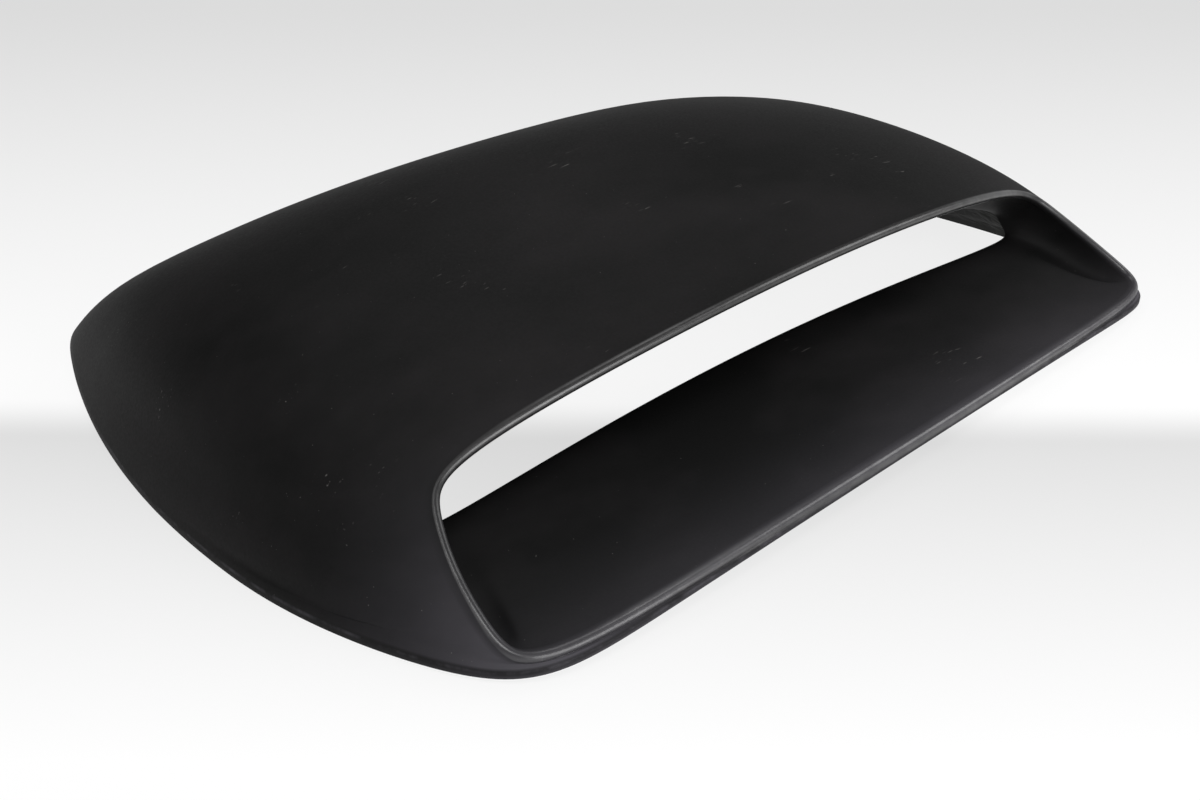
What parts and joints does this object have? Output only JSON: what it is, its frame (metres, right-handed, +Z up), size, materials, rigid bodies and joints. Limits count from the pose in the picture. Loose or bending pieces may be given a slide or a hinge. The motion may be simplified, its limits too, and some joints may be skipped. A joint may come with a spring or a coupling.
{
  "type": "bonnet scoop",
  "caption": "Wide one-piece fibreglass bonnet scoop with a rolled-lip mouth, a duct floor and a see-through slot into the open hollow under the shell",
  "frame": {"origin": "Centre of the base's box at its lowest point, under the middle of the scoop", "axes": "X across the car, +Y rearward so that the mouth faces -Y, +Z up from the bonnet"},
  "size_m": [0.64, 0.485, 0.1276],
  "materials": {
    "moulding": "satin"
  },
  "bodies": {
    "root": {"scoop_shell": "moulding"}
  },
  "joints": []
}
